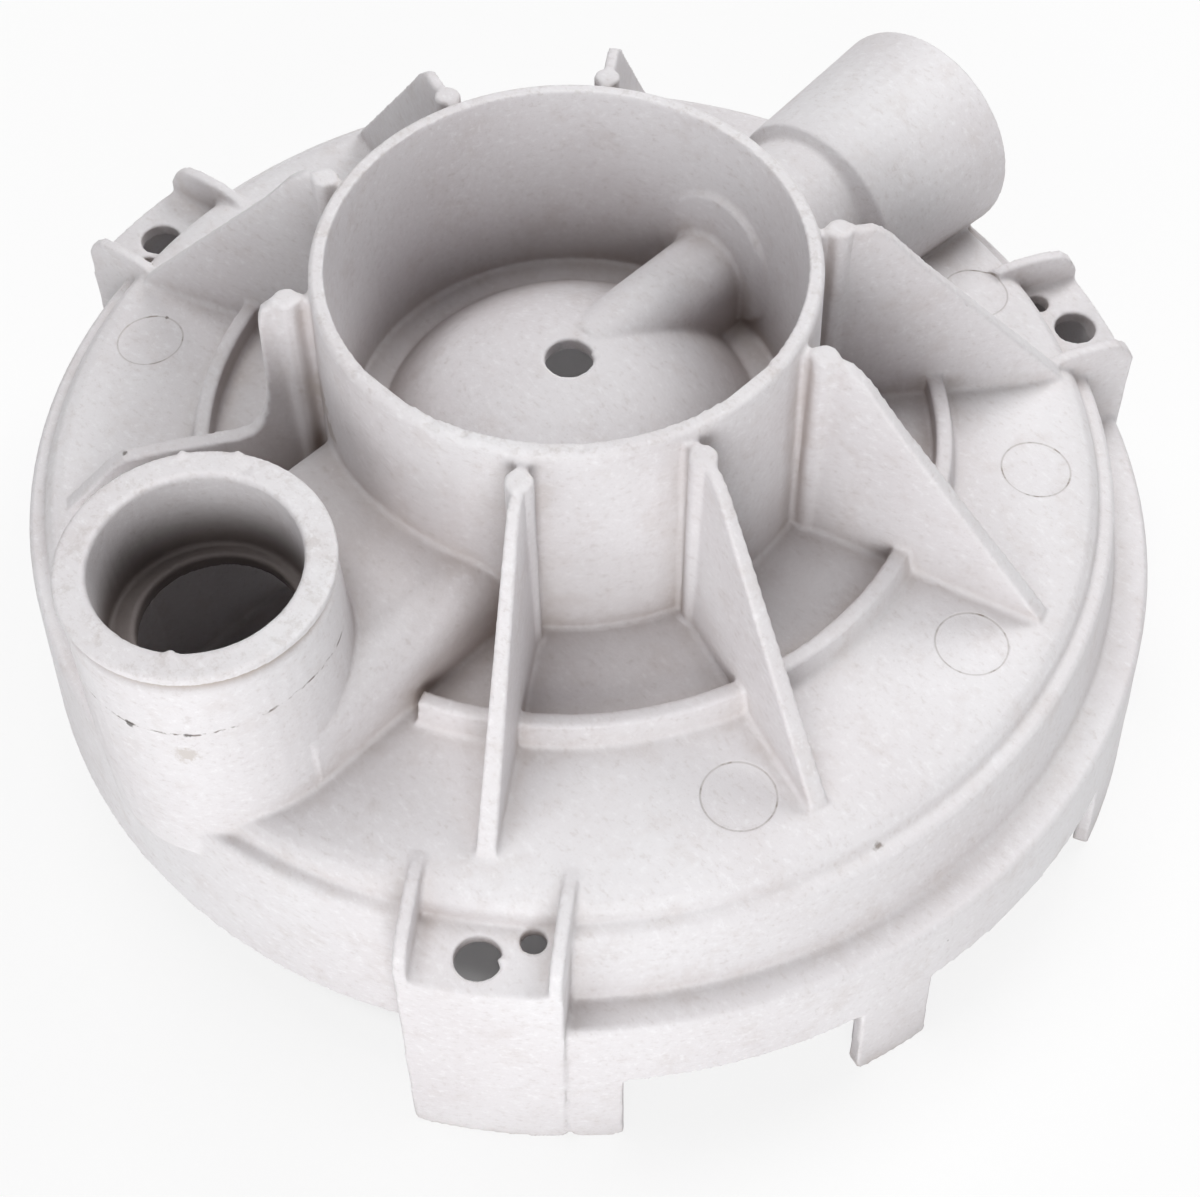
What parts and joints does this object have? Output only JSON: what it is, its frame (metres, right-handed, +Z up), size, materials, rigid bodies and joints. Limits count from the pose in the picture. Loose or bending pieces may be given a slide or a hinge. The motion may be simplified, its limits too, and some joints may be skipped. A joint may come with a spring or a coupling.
{
  "type": "valve body",
  "caption": "Round moulded valve body: a ribbed neck with a domed floor inside, an upright port, a level outlet socket, and screw lugs and feet round a stepped skirt.",
  "frame": {"origin": "on the neck's axis, in the plane that the lugs and the feet stand on", "axes": "+Z up along the neck's axis, +X towards the outlet socket, the upright port at -X"},
  "size_m": [0.2176, 0.2321, 0.108],
  "materials": {
    "resin": "fine matt moulded surface of natural glass filled polypropylene"
  },
  "bodies": {
    "root": {"valve_body": "resin"}
  },
  "joints": []
}
